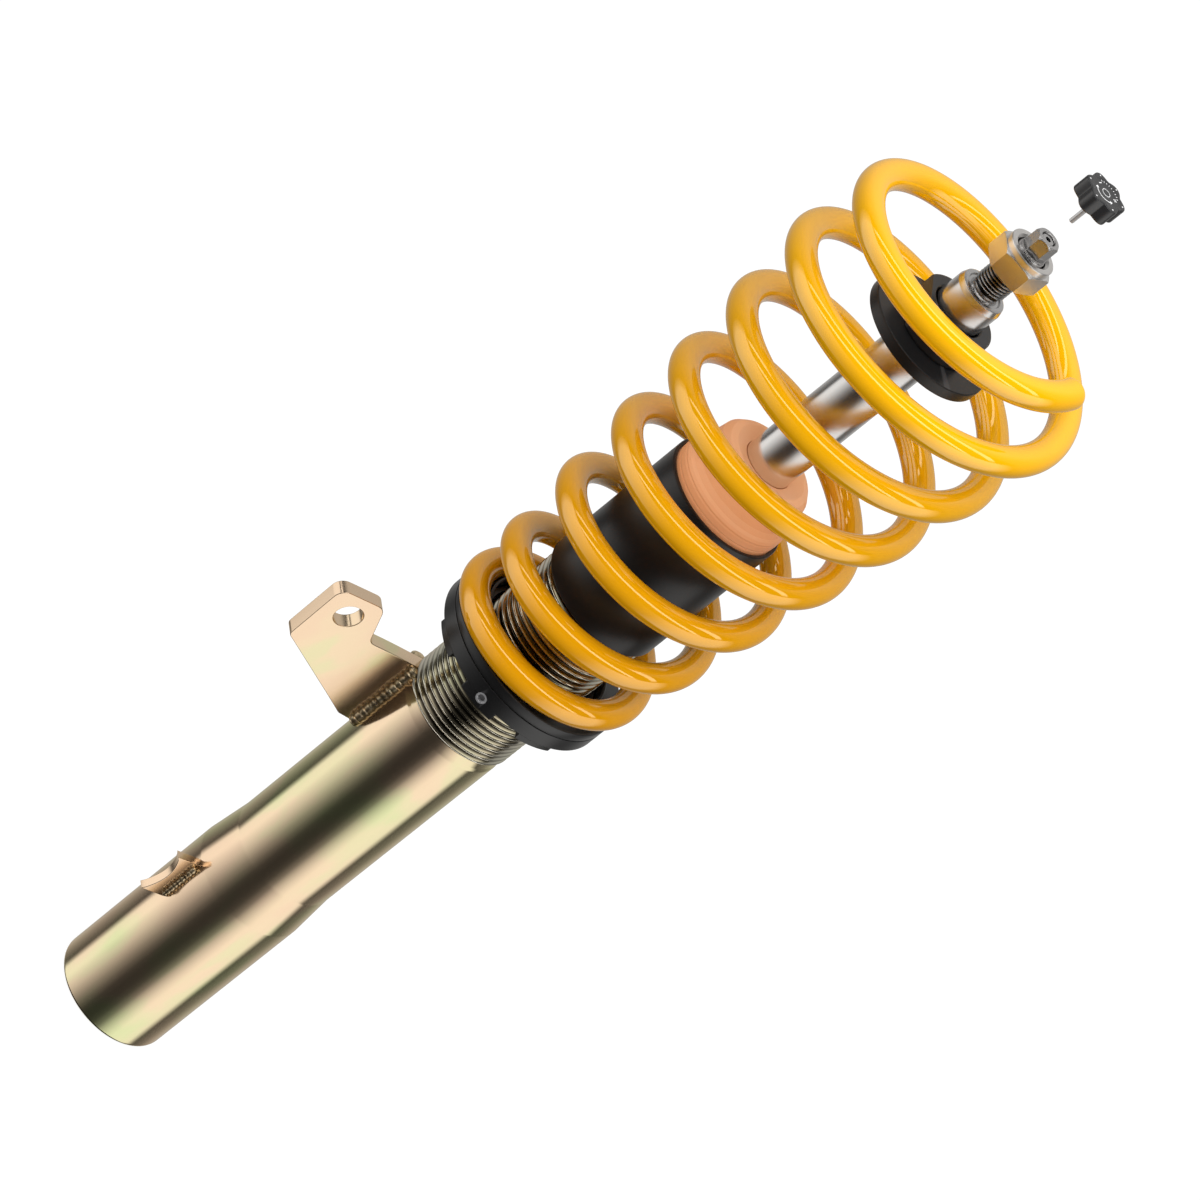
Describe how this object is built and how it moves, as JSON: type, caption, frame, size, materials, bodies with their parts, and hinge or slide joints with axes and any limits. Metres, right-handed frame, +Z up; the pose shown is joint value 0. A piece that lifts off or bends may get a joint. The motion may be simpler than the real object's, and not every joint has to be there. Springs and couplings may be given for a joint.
{
  "type": "coilover",
  "caption": "Height adjustable coilover strut: plated threaded housing, yellow coil spring on a lockable perch, bump stop, chrome rod with rebound adjuster and a key knob.",
  "frame": {"origin": "centre of the housing's bottom face, on the strut's axis", "axes": "+Z up the strut's axis from the housing's foot towards the rod's threaded end; -Y is the side the strut is seen from, and the drop link bracket points towards -X and -Y"},
  "size_m": [0.1383, 0.1331, 0.5838],
  "materials": {
    "plated_steel": "yellow zinc plated, semi-bright",
    "weld_metal": "rippled weld under the same plating",
    "machined_steel": "fine turned",
    "rod_chrome": "ground and hard chromed",
    "nut_zinc": "bright zinc",
    "black_coating": "black powder coat, satin",
    "black_anodise": "matte black anodised",
    "spring_paint": "gloss golden yellow powder coat",
    "bump_foam": "orange microcellular foam, satin skin",
    "seal_rubber": "matte",
    "sintered_steel": "sintered, dull",
    "bush_bronze": "bronze backed liner",
    "needle_brass": "turned",
    "ring_ptfe": "filled PTFE",
    "pad_nylon": "natural nylon",
    "screw_black": "black oxide",
    "shim_steel": "rolled spring steel"
  },
  "bodies": {
    "housing": {"housing_tube": "plated_steel", "base_cap": "plated_steel", "pressure_tube": "machined_steel", "base_valve_body": "sintered_steel", "base_valve_discs": "shim_steel", "base_valve_bolt": "machined_steel", "base_valve_nut": "machined_steel", "rod_guide": "sintered_steel", "guide_bush": "bush_bronze", "guide_o_ring": "seal_rubber", "rod_seal": "seal_rubber", "gland_nut": "machined_steel", "bump_stop_cup": "black_coating", "bump_stop": "bump_foam", "link_bracket": "plated_steel", "link_bracket_weld_front": "weld_metal", "link_bracket_weld_rear": "weld_metal", "locating_tab": "plated_steel", "locating_tab_weld": "weld_metal"},
    "seat": {"spring_seat": "black_anodise", "coil_spring": "spring_paint"},
    "collar": {"adjusting_collar": "black_anodise", "collar_lock_screw": "screw_black", "lock_screw_pad": "pad_nylon"},
    "piston_band": {"piston_ring": "ring_ptfe"},
    "rod": {"piston_rod": "rod_chrome", "piston": "sintered_steel", "compression_shims": "shim_steel", "rebound_shims": "shim_steel", "piston_nut": "machined_steel", "rebound_stop": "machined_steel", "rebound_stop_ring": "seal_rubber", "stop_plate": "black_coating", "stop_collar": "black_coating", "stop_retaining_ring": "machined_steel", "top_nut": "nut_zinc"},
    "adjuster": {"adjuster_spindle": "machined_steel", "spindle_o_ring": "seal_rubber"},
    "needle": {"metering_needle": "needle_brass"},
    "knob": {"adjuster_knob": "black_anodise", "knob_hex_key": "machined_steel"}
  },
  "joints": [
    {"name": "perch_height", "type": "slide", "parent": "housing", "child": "seat", "axis": [0, 0, 1], "range_m": [-0.024, 0.027]},
    {"name": "collar_turn", "type": "hinge", "parent": "seat", "child": "collar", "pos_m": [0, 0, 0.262], "axis": [0, 0, 1], "range_deg": [-2900, 3260]},
    {"name": "rod_slide", "type": "slide", "parent": "housing", "child": "piston_band", "axis": [0, 0, 1], "range_m": [-0.082, 0], "stiffness_N_per_m": 25000, "deforming": ["coil_spring"]},
    {"name": "rod_spin", "type": "hinge", "parent": "piston_band", "child": "rod", "pos_m": [0, 0, 0.49], "axis": [0, 0, 1], "continuous": true},
    {"name": "rebound_adjust", "type": "hinge", "parent": "rod", "child": "adjuster", "pos_m": [0, 0, 0.545], "axis": [0, 0, 1], "range_deg": [-360, 360]},
    {"name": "needle_lift", "type": "slide", "parent": "adjuster", "child": "needle", "axis": [0, 0, 1], "range_m": [-0.00101, 0.00101]},
    {"name": "knob_insert", "type": "slide", "parent": "adjuster", "child": "knob", "axis": [0, 0, 1], "range_m": [-0.0225, 0.02]}
  ],
  "couplings": [
    {"joint": "collar_turn", "follows": "perch_height", "rad_per_m": 2094.4},
    {"joint": "needle_lift", "follows": "rebound_adjust", "m_per_rad": 0.00015915}
  ]
}
